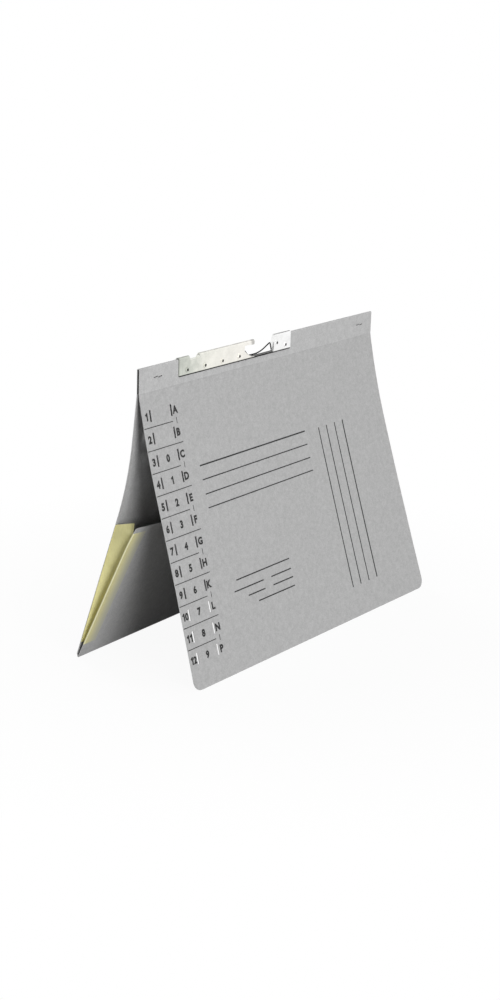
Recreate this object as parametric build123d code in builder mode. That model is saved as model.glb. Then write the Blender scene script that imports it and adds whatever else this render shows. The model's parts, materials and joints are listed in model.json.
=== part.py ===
# A pendulum hanging file standing open like a tent. One creased sheet of card carries a tinplate hanger on
# its top band, an expanding pocket inside the rear cover, and a two-prong paper fastener under the crease.
# Millimetres and degrees, +Z up, the front cover faces -Y, and the origin lies on the ground, halfway between
# the two bottom edges.
import os
from math import cos, radians, sin

from build123d import *

os.makedirs("parts", exist_ok=True)

# Card sheet
folder_width = 318.0
folder_height = 240.0  # top edge to bottom edge along the card
card_thickness = 0.45
band_height = 18.5  # stapled double band above the creases
band_gap = 1.2  # clear space between the two layers of the band
front_corner_radius = 8.0
crease_gap = 0.2  # slit at each crease
cut_overrun = 2.0

# Stance: each cover leaves its crease at one lean, bends, and stands straight at another
front_top_lean = 11.6
front_low_lean = 17.0
front_top_run = 10.0
front_bend_run = 64.0
rear_top_lean = 6.0
rear_low_lean = 18.2
rear_top_run = 36.0
rear_bend_run = 60.0
bow_overrun = 6.0  # more than the covers' bow

# Index slots in the front cover, measured from its left edge and from the top edge
index_rows = 12
index_first_center = 35.5
index_last_rise = 23.4  # middle of the last row above the bottom edge
index_slot_length = 8.5
index_slot_width = 1.8
index_number_column = 9.4
index_letter_column = 34.0

# Hanger strip, measured from the left edge and from the top edge of the card
hanger_left = 46.0
hanger_length = 147.3
hanger_height = 13.3
hanger_sheet = 0.5
hanger_fit = 0.05  # clearance between the strip and the card
hanger_stand = 0.4  # clear space under the strip's crown
hanger_corner_radius = 1.5

# Hook finger and mouth
finger_tip = 143.0
finger_root_depth = 2.1
finger_tip_depth = 2.9
finger_tip_radius = 1.4
mouth_seat_left = 129.8
mouth_seat_depth = 6.3
mouth_slope_station = 133.5
mouth_slope_depth = 9.1
mouth_floor_left = 139.5
mouth_floor_depth = 12.0
mouth_wall = 169.6
mouth_wall_top = 4.8
mouth_entry_right = 171.6
mouth_corner_radius = 1.0
mouth_floor_radius = 1.5

# Notch in the strip's top edge
notch_left = 59.2
notch_right = 70.7
notch_depth = 2.2
notch_lean = 1.7  # slant of its right side
notch_corner_radius = 0.8

# Crimp eyelets
eyelet_first_station = 56.7
eyelet_pitch = 22.1
eyelet_row_count = 4
eyelet_row_depth = 9.3
eyelet_far_station = 186.3
eyelet_mouth_station = 173.9
eyelet_mouth_depth = 6.1
eyelet_shank_radius = 1.5
eyelet_bore_radius = 1.15
eyelet_flange_radius = 2.1
eyelet_flange = 0.35
eyelet_hole_fit = 0.05

# Catch wire, its bends measured from the left edge and from the top edge
wire_diameter = 1.0
wire_eye_fit = 0.08
wire_rise_station = 132.0
wire_rise_depth = 6.7
wire_dip_station = 136.6
wire_dip_depth = 10.9
wire_trough_station = 152.0
wire_peak_station = 166.4
wire_peak_depth = 4.8
wire_tip_station = 168.5
wire_tip_depth = 10.7
wire_rise_radius = 1.5
wire_dip_radius = 5.0
wire_trough_radius = 36.0
wire_peak_radius = 1.2

# Staples
staple_left_inset = 21.7  # from the left edge
staple_right_inset = 19.4  # from the right edge
staple_depth = 8.7
staple_wire = 0.5
staple_span = 9.0
staple_seat = 0.03  # clearance between the wire and the card
staple_hole_fit = 0.06
staple_bend_radius = 0.5
staple_leg_end = 0.5  # clinched leg ends short of the middle
staple_leg_offset = 0.45

# Pocket
flap_length = 125.0
flap_open = 7.0  # angle between the flap and the rear cover
flap_corner_width = 1.2
flap_corner_height = 1.2
pocket_gap = 1.2  # clear space inside the bottom fold
fold_sweep = 160.0  # bend held by the rear cover
tape_thickness = 0.2
tape_lap_width = 13.0
tape_bottom = 14.0  # above the fold
tape_height = 107.0
tape_rear_drop = 2.7  # the tape's top lies lower on the rear cover
rear_lap_cut = 9.0  # slanted cut across the rear lap's free top corner
web_inset = 0.3  # web inside the side edges
web_fit = 0.05

# Paper fastener, on the inside of the rear cover
prong_spacing = 80.0
prong_drop = 21.0  # below the crease
prong_width = 6.0
prong_sheet = 0.3
prong_reach = 35.0
patch_length = 190.0
patch_width = 24.0
patch_thickness = 0.6
patch_fit = 0.05
patch_slit_fit = 0.1
bar_length = 176.0
bar_width = 10.0
bar_sheet = 0.4
bar_lip_height = 1.2
bar_stand = 0.5  # bar above the patch
bar_slot_fit = 0.25
prong_stand = 0.1  # folded prong above the bar
slider_length = 10.0
slider_sheet = 0.35
slider_fit = 0.1
slider_hook = 1.2  # inturned edge under the bar
slider_station = 67.0  # locked place, from the middle

# Places worked out from the sizes above


def fall(top_run, top_lean, bend_run, low_lean, low_run):
    """How far out and how far down a cover's outer face goes, from its crease."""
    radius = bend_run / radians(low_lean - top_lean)
    top, low = radians(top_lean), radians(low_lean)
    out = top_run * sin(top) + radius * (cos(top) - cos(low)) + low_run * sin(low)
    down = top_run * cos(top) + radius * (sin(low) - sin(top)) + low_run * cos(low)
    return out, down


band_half = band_gap / 2 + card_thickness
hanger_half = band_half + hanger_fit + hanger_sheet
fold_radius = pocket_gap / 2 + card_thickness
left_edge = -folder_width / 2
index_pitch = (folder_height - index_first_center - index_last_rise) / (index_rows - 1)
staple_stations = (staple_left_inset, folder_width - staple_right_inset)
front_cos, front_sin = cos(radians(front_low_lean)), sin(radians(front_low_lean))
rear_cos, rear_sin = cos(radians(rear_low_lean)), sin(radians(rear_low_lean))

# The front cover's length sets the crease's height, and the rear cover reaches the same ground
front_low_run = folder_height - band_height - front_top_run - front_bend_run
front_out, front_down = fall(front_top_run, front_top_lean, front_bend_run, front_low_lean, front_low_run)
front_bent_out, front_bent_down = fall(front_top_run, front_top_lean, front_bend_run, front_low_lean, 0)
crease_z = front_down + card_thickness * front_sin
top_z = crease_z + band_height
rear_bent_out, rear_bent_down = fall(rear_top_run, rear_top_lean, rear_bend_run, rear_low_lean, 0)
rear_low_run = (crease_z - rear_bent_down - fold_radius * (1 + rear_sin)) / rear_cos
rear_out = rear_bent_out + rear_low_run * rear_sin + fold_radius * (1 - rear_cos)
ridge_y = (front_out - rear_out) / 2
front_crease_y = ridge_y - band_half
rear_crease_y = ridge_y + band_half

# Faces that the pieces lie on: x along the ridge, y up the card
ridge_view = Plane.XZ.offset(-ridge_y)
front_low_face = Plane(
    origin=(0, front_crease_y - front_bent_out, crease_z - front_bent_down),
    x_dir=(1, 0, 0),
    z_dir=(0, -front_cos, front_sin),
)
rear_low_face = Plane(
    origin=(0, rear_crease_y + rear_bent_out, crease_z - rear_bent_down),
    x_dir=(1, 0, 0),
    z_dir=(0, -rear_cos, -rear_sin),
)
rear_low_inside = rear_low_face.offset(card_thickness)
rear_top_face = Plane(
    origin=(0, rear_crease_y, crease_z),
    x_dir=(1, 0, 0),
    z_dir=(0, -cos(radians(rear_top_lean)), -sin(radians(rear_top_lean))),
)
fold_axis = rear_low_face * Location((0, -rear_low_run, fold_radius))
flap_middle = Plane(fold_axis * Location((0, 0, 0), (flap_open, 0, 0)))
flap_inside = flap_middle.offset(pocket_gap / 2)
flap_outside = flap_inside.offset(card_thickness)
fastener_face = Plane(rear_top_face * Location((0, -prong_drop, card_thickness)))


def at(station, depth):
    """A point of the strip's front view, from the card's left edge and top edge."""
    return (left_edge + station, top_z - depth)


def spot(station, depth):
    """The same point in the middle of the band."""
    return (left_edge + station, ridge_y, top_z - depth)


eyelet_spots = [
    spot(eyelet_first_station + i * eyelet_pitch, eyelet_row_depth) for i in range(eyelet_row_count)
]
eyelet_spots += [spot(eyelet_mouth_station, eyelet_mouth_depth), spot(eyelet_far_station, eyelet_row_depth)]
eye_station = eyelet_first_station + (eyelet_row_count - 1) * eyelet_pitch
eye_radius = eyelet_shank_radius + wire_eye_fit + wire_diameter / 2

# Outline of the mouth that goes through the strip and the band
with BuildSketch(ridge_view) as hook_mouth:
    with BuildLine():
        FilletPolyline(
            at(finger_tip, -cut_overrun),
            at(finger_tip, finger_tip_depth),
            at(mouth_seat_left, finger_root_depth),
            at(mouth_seat_left, mouth_seat_depth),
            at(mouth_slope_station, mouth_slope_depth),
            at(mouth_floor_left, mouth_floor_depth),
            at(mouth_wall, mouth_floor_depth),
            at(mouth_wall, mouth_wall_top),
            at(mouth_entry_right, 0),
            at(mouth_entry_right, -cut_overrun),
            radius=(
                0,
                finger_tip_radius,
                mouth_corner_radius,
                mouth_corner_radius,
                0,
                mouth_floor_radius,
                mouth_floor_radius,
                mouth_floor_radius,
                mouth_corner_radius,
                0,
            ),
            close=True,
        )
    make_face()

# Outline of the notch
with BuildSketch(ridge_view) as rail_notch:
    with BuildLine():
        FilletPolyline(
            at(notch_left, -cut_overrun),
            at(notch_left, notch_depth),
            at(notch_right, notch_depth),
            at(notch_right + notch_lean, 0),
            at(notch_right + notch_lean, -cut_overrun),
            radius=(0, notch_corner_radius, notch_corner_radius, 0, 0),
            close=True,
        )
    make_face()

# Turned-in edges of the strip, which close its right-hand wall at the mouth and its floor at the notch
mouth_lip_top = mouth_entry_right - (mouth_entry_right - mouth_wall) * band_half / mouth_wall_top
notch_lip_top = notch_right + notch_lean * (1 - band_half / notch_depth)
notch_lip_floor = notch_depth + hanger_sheet
with BuildSketch(ridge_view) as turned_lips:
    with BuildLine():
        Polyline(
            at(mouth_wall, mouth_floor_depth),
            at(mouth_wall, mouth_wall_top),
            at(mouth_lip_top, band_half),
            at(mouth_lip_top + hanger_sheet, band_half),
            at(mouth_wall + hanger_sheet, mouth_wall_top),
            at(mouth_wall + hanger_sheet, mouth_floor_depth),
            close=True,
        )
    make_face()
    with BuildLine():
        Polyline(
            at(notch_left, notch_depth),
            at(notch_right, notch_depth),
            at(notch_lip_top, band_half),
            at(notch_lip_top + hanger_sheet, band_half),
            at(notch_right + hanger_sheet, notch_lip_floor),
            at(notch_left, notch_lip_floor),
            close=True,
        )
    make_face()
with BuildSketch(ridge_view) as lip_room:
    add(turned_lips.sketch)
    with BuildLine():
        Polyline(
            at(notch_left, notch_depth),
            at(notch_right, notch_depth),
            at(notch_lip_top, band_half),
            at(notch_left, band_half),
            close=True,
        )
    make_face()
    offset(amount=hanger_fit, kind=Kind.INTERSECTION)

# Double top band, folded over at the top edge
fold_center_z = top_z - band_half
band_leg = band_height - band_half - crease_gap / 2
with BuildPart() as spine_band:
    with BuildSketch(Plane.YZ.offset(left_edge)):
        with Locations((ridge_y, fold_center_z)):
            Circle(band_half)
            Rectangle(2 * band_half, band_leg, align=(Align.CENTER, Align.MAX))
        with Locations((ridge_y, fold_center_z)):
            Circle(band_gap / 2, mode=Mode.SUBTRACT)
            Rectangle(
                band_gap, band_leg + cut_overrun, align=(Align.CENTER, Align.MAX), mode=Mode.SUBTRACT
            )
    extrude(amount=folder_width)
    extrude(hook_mouth.sketch, amount=cut_overrun + band_half, both=True, mode=Mode.SUBTRACT)
    extrude(rail_notch.sketch, amount=cut_overrun + band_half, both=True, mode=Mode.SUBTRACT)
    extrude(lip_room.sketch, amount=cut_overrun + band_half, both=True, mode=Mode.SUBTRACT)
    with Locations(*[Location(p, (90, 0, 0)) for p in eyelet_spots]):
        Cylinder(
            eyelet_shank_radius + eyelet_hole_fit, 2 * (band_half + cut_overrun), mode=Mode.SUBTRACT
        )
    with Locations(
        *[
            Location(spot(station + side * staple_span / 2, staple_depth), (90, 0, 0))
            for station in staple_stations
            for side in (-1, 1)
        ]
    ):
        Cylinder(
            staple_wire / 2 + staple_hole_fit, 2 * (band_half + cut_overrun), mode=Mode.SUBTRACT
        )
spine_band.part.label = "spine_band"
export_step(spine_band.part, "parts/spine_band.step")


def cover_line(crease_y, side, top_run, top_lean, bend_run, low_lean, low_run):
    """Outer face of a cover in the side view, from its crease down; side is -1 in front, 1 behind."""
    start = Vector(crease_y, crease_z)
    start += Vector(side * sin(radians(top_lean)), -cos(radians(top_lean))) * (crease_gap / 2)
    top = PolarLine(start, top_run - crease_gap / 2, side * top_lean - 90)
    bend_radius = bend_run / radians(low_lean - top_lean)
    bend = JernArc(top @ 1, top % 1, bend_radius, side * (low_lean - top_lean))
    PolarLine(bend @ 1, low_run, side * low_lean - 90)


# Front cover with its index slots
with BuildPart() as front_cover:
    with BuildSketch(Plane.YZ.offset(left_edge)):
        with BuildLine():
            cover_line(
                front_crease_y,
                -1,
                front_top_run,
                front_top_lean,
                front_bend_run,
                front_low_lean,
                front_low_run,
            )
            offset(amount=card_thickness, side=Side.LEFT)
        make_face()
    extrude(amount=folder_width)
    fillet(
        front_cover.edges().filter_by(Axis(front_low_face.origin, front_low_face.z_dir)).sort_by(Axis.Z)[:2],
        front_corner_radius,
    )
    with BuildSketch(front_low_face):
        with Locations(
            *[
                (left_edge + column, folder_height - front_low_run - index_first_center - i * index_pitch)
                for i in range(index_rows)
                for column in (index_number_column, index_letter_column)
            ]
        ):
            Rectangle(index_slot_width, index_slot_length)
    extrude(amount=bow_overrun, both=True, mode=Mode.SUBTRACT)
front_cover.part.label = "front_cover"
export_step(front_cover.part, "parts/front_cover.step")

# Rear cover and the bend at its bottom edge
with BuildPart() as rear_cover:
    with BuildSketch(Plane.YZ.offset(left_edge)):
        with BuildLine():
            cover_line(
                rear_crease_y,
                1,
                rear_top_run,
                rear_top_lean,
                rear_bend_run,
                rear_low_lean,
                rear_low_run,
            )
            offset(amount=card_thickness, side=Side.RIGHT)
        make_face()
    extrude(amount=folder_width)
    with BuildSketch(
        Plane(fold_axis.position, x_dir=-rear_low_face.z_dir, z_dir=(1, 0, 0)).offset(left_edge)
    ):
        with BuildLine():
            outer_bend = CenterArc((0, 0), fold_radius, 0, -fold_sweep)
            inner_bend = CenterArc((0, 0), pocket_gap / 2, 0, -fold_sweep)
            Line(inner_bend @ 0, outer_bend @ 0)
            Line(inner_bend @ 1, outer_bend @ 1)
        make_face()
    extrude(amount=folder_width)
rear_cover.part.label = "rear_cover"
export_step(rear_cover.part, "parts/rear_cover.step")

# Pocket flap
with BuildPart() as pocket_flap:
    with BuildSketch(flap_inside):
        with BuildLine():
            Polyline(
                (left_edge, 0),
                (-left_edge, 0),
                (-left_edge, flap_length - flap_corner_height),
                (-left_edge - flap_corner_width, flap_length),
                (left_edge + flap_corner_width, flap_length),
                (left_edge, flap_length - flap_corner_height),
                close=True,
            )
        make_face()
    extrude(amount=card_thickness)
pocket_flap.part.label = "pocket_flap"
export_step(pocket_flap.part, "parts/pocket_flap.step")

# Tinplate hanger strip
hanger_leg = hanger_height + hanger_stand - band_half
with BuildPart() as hanger_rail:
    with BuildSketch(Plane.YZ.offset(left_edge + hanger_left)):
        with Locations((ridge_y, fold_center_z + hanger_stand)):
            Circle(hanger_half)
            Rectangle(
                2 * hanger_half, hanger_leg, align=(Align.CENTER, Align.MAX)
            )
        with Locations((ridge_y, fold_center_z + hanger_stand)):
            Circle(band_half + hanger_fit, mode=Mode.SUBTRACT)
            Rectangle(
                2 * (band_half + hanger_fit),
                hanger_leg + cut_overrun,
                align=(Align.CENTER, Align.MAX),
                mode=Mode.SUBTRACT,
            )
    extrude(amount=hanger_length)
    fillet(
        hanger_rail.edges().filter_by(Axis.Y).group_by(Axis.Z)[0], hanger_corner_radius
    )
    extrude(turned_lips.sketch, amount=band_half + hanger_fit, both=True)
    extrude(hook_mouth.sketch, amount=cut_overrun + hanger_half, both=True, mode=Mode.SUBTRACT)
    extrude(rail_notch.sketch, amount=cut_overrun + hanger_half, both=True, mode=Mode.SUBTRACT)
    with Locations(*[Location(p, (90, 0, 0)) for p in eyelet_spots]):
        Cylinder(
            eyelet_shank_radius + eyelet_hole_fit, 2 * (hanger_half + cut_overrun), mode=Mode.SUBTRACT
        )
hanger_rail.part.label = "hanger_rail"
export_step(hanger_rail.part, "parts/hanger_rail.step")

# Crimp eyelets, flanged on both sides of the strip
with BuildPart() as crimp_eyelets:
    with Locations(*[Location(p, (90, 0, 0)) for p in eyelet_spots]):
        Cylinder(eyelet_shank_radius, 2 * hanger_half)
        with Locations((0, 0, hanger_half), (0, 0, -hanger_half - eyelet_flange)):
            Cylinder(
                eyelet_flange_radius, eyelet_flange, align=(Align.CENTER, Align.CENTER, Align.MIN)
            )
        Cylinder(
            eyelet_bore_radius, 2 * (hanger_half + eyelet_flange + cut_overrun), mode=Mode.SUBTRACT
        )
crimp_eyelets.part.label = "crimp_eyelets"
export_step(crimp_eyelets.part, "parts/crimp_eyelets.step")

# Spring wire across the mouth, with its eye round an eyelet
with BuildPart() as catch_wire:
    with BuildLine(ridge_view) as wire_path:
        FilletPolyline(
            at(eye_station, eyelet_row_depth - eye_radius),
            at(wire_rise_station, wire_rise_depth),
            at(wire_dip_station, wire_dip_depth),
            at(wire_trough_station, wire_dip_depth),
            at(wire_peak_station, wire_peak_depth),
            at(wire_tip_station, wire_tip_depth),
            radius=(wire_rise_radius, wire_dip_radius, wire_trough_radius, wire_peak_radius),
        )
    with BuildSketch(Plane(wire_path.line @ 0, z_dir=wire_path.line % 0)):
        Circle(wire_diameter / 2)
    sweep(path=wire_path.line)
    with Locations(Location(spot(eye_station, eyelet_row_depth), (90, 0, 0))):
        Torus(eye_radius, wire_diameter / 2)
catch_wire.part.label = "catch_wire"
export_step(catch_wire.part, "parts/catch_wire.step")

# Staples, crown on the rear and legs clinched on the front
staple_stand = band_half + staple_seat + staple_wire / 2
staple_front_y = ridge_y - staple_stand
staple_rear_y = ridge_y + staple_stand


def staple_bends(station):
    """Bends of a staple's wire, from one leg end to the other."""
    x, z = at(station, staple_depth)
    half = staple_span / 2
    return (
        (x - staple_leg_end, staple_front_y, z + staple_leg_offset),
        (x - half, staple_front_y, z),
        (x - half, staple_rear_y, z),
        (x + half, staple_rear_y, z),
        (x + half, staple_front_y, z),
        (x + staple_leg_end, staple_front_y, z - staple_leg_offset),
    )


with BuildPart() as staple_left:
    with BuildLine() as left_bends:
        FilletPolyline(*staple_bends(staple_stations[0]), radius=staple_bend_radius)
    with BuildSketch(Plane(left_bends.line @ 0, z_dir=left_bends.line % 0)):
        Circle(staple_wire / 2)
    sweep(path=left_bends.line)
staple_left.part.label = "staple_left"
export_step(staple_left.part, "parts/staple_left.step")

with BuildPart() as staple_right:
    with BuildLine() as right_bends:
        FilletPolyline(*staple_bends(staple_stations[1]), radius=staple_bend_radius)
    with BuildSketch(Plane(right_bends.line @ 0, z_dir=right_bends.line % 0)):
        Circle(staple_wire / 2)
    sweep(path=right_bends.line)
staple_right.part.label = "staple_right"
export_step(staple_right.part, "parts/staple_right.step")

# Laps of the pocket's paper tape, on the flap and on the rear cover
tape_start = tape_bottom - fold_radius
lap_offset = folder_width / 2 - tape_lap_width / 2
with BuildPart() as flap_lap_left:
    with BuildSketch(flap_outside):
        with Locations((-lap_offset, tape_start)):
            Rectangle(tape_lap_width, tape_height, align=(Align.CENTER, Align.MIN))
    extrude(amount=tape_thickness)
flap_lap_left.part.label = "flap_lap_left"
export_step(flap_lap_left.part, "parts/flap_lap_left.step")

with BuildPart() as flap_lap_right:
    with BuildSketch(flap_outside):
        with Locations((lap_offset, tape_start)):
            Rectangle(tape_lap_width, tape_height, align=(Align.CENTER, Align.MIN))
    extrude(amount=tape_thickness)
flap_lap_right.part.label = "flap_lap_right"
export_step(flap_lap_right.part, "parts/flap_lap_right.step")

rear_tape_start = tape_start - rear_low_run
rear_tape_end = rear_tape_start + tape_height - tape_rear_drop


def rear_lap_outline(side):
    """Outline of a lap on the rear cover's inside; side is -1 on the left, 1 on the right."""
    edge = side * folder_width / 2
    free = edge - side * tape_lap_width
    return (
        (edge, rear_tape_start),
        (edge, rear_tape_end),
        (free, rear_tape_end - rear_lap_cut),
        (free, rear_tape_start),
    )


with BuildPart() as rear_lap_left:
    with BuildSketch(rear_low_inside):
        with BuildLine():
            Polyline(*rear_lap_outline(-1), close=True)
        make_face()
    extrude(amount=tape_thickness)
rear_lap_left.part.label = "rear_lap_left"
export_step(rear_lap_left.part, "parts/rear_lap_left.step")

with BuildPart() as rear_lap_right:
    with BuildSketch(rear_low_inside):
        with BuildLine():
            Polyline(*rear_lap_outline(1), close=True)
        make_face()
    extrude(amount=tape_thickness)
rear_lap_right.part.label = "rear_lap_right"
export_step(rear_lap_right.part, "parts/rear_lap_right.step")

# Webs of the pocket's sides, between the rear lap and the flap
flap_cos = cos(radians(flap_open))
flap_sin = sin(radians(flap_open))
web_rear_z = tape_thickness + web_fit - pocket_gap / 2


def flap_back(up):
    """A point just behind the flap, in the side view from the fold's axis."""
    behind = pocket_gap / 2 - web_fit
    return (up * flap_cos - behind * flap_sin, up * flap_sin + behind * flap_cos)


web_outline = (
    (tape_start, web_rear_z),
    (tape_start + tape_height - tape_rear_drop, web_rear_z),
    flap_back(tape_start + tape_height),
    flap_back(tape_start),
)
side_view = Plane(fold_axis.position, x_dir=rear_low_face.y_dir, z_dir=(1, 0, 0))
with BuildPart() as gusset_web_left:
    with BuildSketch(side_view.offset(left_edge + web_inset)):
        with BuildLine():
            Polyline(*web_outline, close=True)
        make_face()
    extrude(amount=tape_thickness)
gusset_web_left.part.label = "gusset_web_left"
export_step(gusset_web_left.part, "parts/gusset_web_left.step")

with BuildPart() as gusset_web_right:
    with BuildSketch(side_view.offset(-left_edge - web_inset)):
        with BuildLine():
            Polyline(*web_outline, close=True)
        make_face()
    extrude(amount=-tape_thickness)
gusset_web_right.part.label = "gusset_web_right"
export_step(gusset_web_right.part, "parts/gusset_web_right.step")

# Paper fastener: strip with two prongs, folded outward over the bar
bar_base = patch_thickness + bar_stand
prong_level = bar_base + bar_sheet + prong_stand + prong_sheet / 2
prong_half = prong_spacing / 2
with BuildPart() as prong_strip:
    with BuildSketch(Plane(fastener_face.origin, x_dir=(1, 0, 0), z_dir=-fastener_face.y_dir)):
        with BuildLine():
            Polyline(
                (-prong_half - prong_reach, prong_level),
                (-prong_half, prong_level),
                (-prong_half, prong_sheet / 2),
                (prong_half, prong_sheet / 2),
                (prong_half, prong_level),
                (prong_half + prong_reach, prong_level),
            )
        trace(line_width=prong_sheet)
    extrude(amount=prong_width / 2, both=True)
prong_strip.part.label = "prong_strip"
export_step(prong_strip.part, "parts/prong_strip.step")

# Glued patch over the strip
with BuildPart() as prong_patch:
    with BuildSketch(fastener_face):
        Rectangle(patch_length, patch_width)
    extrude(amount=patch_thickness)
    with BuildSketch(fastener_face):
        Rectangle(
            prong_spacing + prong_sheet + 2 * patch_slit_fit, prong_width + 2 * patch_slit_fit
        )
    extrude(amount=prong_sheet + patch_fit, mode=Mode.SUBTRACT)
    with BuildSketch(fastener_face):
        with Locations((-prong_half, 0), (prong_half, 0)):
            Rectangle(prong_sheet + 2 * patch_slit_fit, prong_width + 2 * patch_slit_fit)
    extrude(amount=patch_thickness, mode=Mode.SUBTRACT)
prong_patch.part.label = "prong_patch"
export_step(prong_patch.part, "parts/prong_patch.step")

# Pressed bar with upturned edges
bar_face = fastener_face.offset(bar_base)
with BuildPart() as retainer_bar:
    with BuildSketch(bar_face):
        Rectangle(bar_length, bar_width)
    extrude(amount=bar_lip_height)
    with BuildSketch(bar_face.offset(bar_sheet)):
        Rectangle(bar_length, bar_width - 2 * bar_sheet)
    extrude(amount=bar_lip_height, mode=Mode.SUBTRACT)
    with BuildSketch(bar_face):
        with Locations((-prong_half, 0), (prong_half, 0)):
            Rectangle(prong_sheet + 2 * bar_slot_fit, prong_width + 2 * bar_slot_fit)
    extrude(amount=bar_sheet, mode=Mode.SUBTRACT)
retainer_bar.part.label = "retainer_bar"
export_step(retainer_bar.part, "parts/retainer_bar.step")

# Sliding locks, wrapped round the bar
slider_inner_width = bar_width + 2 * slider_fit
slider_inner_height = bar_lip_height + 2 * slider_fit
slider_mouth = slider_inner_width - 2 * slider_hook
slider_frame = Plane(bar_face.origin, x_dir=bar_face.y_dir, z_dir=(1, 0, 0))
with BuildPart() as slider_left:
    with BuildSketch(slider_frame.offset(-slider_station - slider_length / 2)):
        with Locations((0, bar_lip_height / 2)):
            Rectangle(
                slider_inner_width + 2 * slider_sheet, slider_inner_height + 2 * slider_sheet
            )
            Rectangle(slider_inner_width, slider_inner_height, mode=Mode.SUBTRACT)
        Rectangle(
            slider_mouth, bar_lip_height, align=(Align.CENTER, Align.MAX), mode=Mode.SUBTRACT
        )
    extrude(amount=slider_length)
slider_left.part.label = "slider_left"
export_step(slider_left.part, "parts/slider_left.step")

with BuildPart() as slider_right:
    with BuildSketch(slider_frame.offset(slider_station - slider_length / 2)):
        with Locations((0, bar_lip_height / 2)):
            Rectangle(
                slider_inner_width + 2 * slider_sheet, slider_inner_height + 2 * slider_sheet
            )
            Rectangle(slider_inner_width, slider_inner_height, mode=Mode.SUBTRACT)
        Rectangle(
            slider_mouth, bar_lip_height, align=(Align.CENTER, Align.MAX), mode=Mode.SUBTRACT
        )
    extrude(amount=slider_length)
slider_right.part.label = "slider_right"
export_step(slider_right.part, "parts/slider_right.step")
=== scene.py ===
import json
from math import ceil, cos, pi, radians, sin

import bmesh
import bpy
from mathutils import Matrix, Vector
from mathutils.geometry import delaunay_2d_cdt


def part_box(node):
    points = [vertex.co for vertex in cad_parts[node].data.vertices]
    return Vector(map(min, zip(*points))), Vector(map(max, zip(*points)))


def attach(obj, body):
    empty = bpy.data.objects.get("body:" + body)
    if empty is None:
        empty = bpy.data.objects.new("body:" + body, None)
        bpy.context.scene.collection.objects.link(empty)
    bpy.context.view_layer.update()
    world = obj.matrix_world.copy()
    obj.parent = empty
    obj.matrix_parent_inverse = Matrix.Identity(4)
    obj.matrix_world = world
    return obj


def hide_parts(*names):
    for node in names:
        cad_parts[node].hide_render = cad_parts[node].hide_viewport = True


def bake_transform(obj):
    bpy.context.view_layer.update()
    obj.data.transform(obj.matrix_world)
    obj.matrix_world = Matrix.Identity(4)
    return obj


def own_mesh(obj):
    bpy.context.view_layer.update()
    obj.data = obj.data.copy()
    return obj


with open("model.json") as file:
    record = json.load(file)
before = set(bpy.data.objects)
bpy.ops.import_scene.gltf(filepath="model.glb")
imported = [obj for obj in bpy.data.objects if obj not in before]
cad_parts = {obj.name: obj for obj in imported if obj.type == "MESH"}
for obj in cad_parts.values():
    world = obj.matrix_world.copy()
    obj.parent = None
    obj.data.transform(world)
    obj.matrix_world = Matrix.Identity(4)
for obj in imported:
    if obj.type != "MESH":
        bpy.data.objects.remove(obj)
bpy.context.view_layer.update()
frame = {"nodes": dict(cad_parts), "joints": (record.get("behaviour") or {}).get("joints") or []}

# A hanging file of creased grey card, standing open like a tent. Metres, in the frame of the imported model.
mm = 0.001
nodes = frame["nodes"]
joints = {joint["name"]: joint for joint in frame["joints"]}

bandLow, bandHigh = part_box("spine_band")
leftX = bandLow.x
width = bandHigh.x - bandLow.x
middle = width / 2
ridgeY = (bandLow.y + bandHigh.y) / 2
bandHalf = (bandHigh.y - bandLow.y) / 2
topZ = bandHigh.z
creaseZ = joints["front_cover_fold"]["pos_m"][2]
bandDepth = topZ - creaseZ  # from the top edge to the crease
foldAxis = Vector(joints["pocket_fold"]["pos_m"])
foldRadius = foldAxis.z  # the bottom fold touches the ground
flapOpen = radians(-joints["pocket_fold"]["range_deg"][0])
print("frame read:", len(nodes), "nodes,", round(width / mm), "mm wide")


# Shader maths: an output socket that takes part in plain sums

class Sock:
    def __init__(self, tree, out=None):
        self.tree = tree
        self.out = out

    def add(self, kind, settings=None, inputs=None, out=""):
        node = self.tree.nodes.new(kind)
        for name, value in (settings or {}).items():
            if name == "stops":
                stops = node.color_ramp.elements
                while len(stops) < len(value):
                    stops.new(0.5)
                for stop, (place, colour) in zip(stops, value):
                    stop.position = place
                    stop.color = (*colour, 1)
            else:
                setattr(node, name, value)
        sockets = {socket.identifier: socket for socket in node.inputs}
        for name, value in (inputs or {}).items():
            if isinstance(value, Sock):
                self.tree.links.new(value.out, sockets[name])
            else:
                sockets[name].default_value = value
        outputs = {socket.identifier: socket for socket in node.outputs}
        return Sock(self.tree, outputs.get(out) or next(iter(outputs.values()), None))

    def math(self, operation, first, second):
        return self.add("ShaderNodeMath", {"operation": operation}, {"Value": first, "Value_001": second})

    def __add__(self, other):
        return self.math("ADD", self, other)

    def __radd__(self, other):
        return self.math("ADD", other, self)

    def __sub__(self, other):
        return self.math("SUBTRACT", self, other)

    def __rsub__(self, other):
        return self.math("SUBTRACT", other, self)

    def __mul__(self, other):
        return self.math("MULTIPLY", self, other)

    def __rmul__(self, other):
        return self.math("MULTIPLY", other, self)

    def __pow__(self, other):
        return self.math("POWER", self, other)

    def __rpow__(self, other):
        return self.math("POWER", other, self)


def newFinish(name, paint):
    material = bpy.data.materials.new(name)
    material.use_nodes = True
    material.node_tree.nodes.clear()
    start = Sock(material.node_tree)
    start.add("ShaderNodeOutputMaterial", inputs={"Surface": paint(start)})
    return material


def coordinate(start, where, axis):
    return start.add("ShaderNodeSeparateXYZ", {}, {"Vector": where}, axis)


def fromEnds(start, where):
    # inward from the nearer end of the folder
    return middle - start.math("ABSOLUTE", coordinate(start, where, "X") - (leftX + middle), 0.0)


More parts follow.
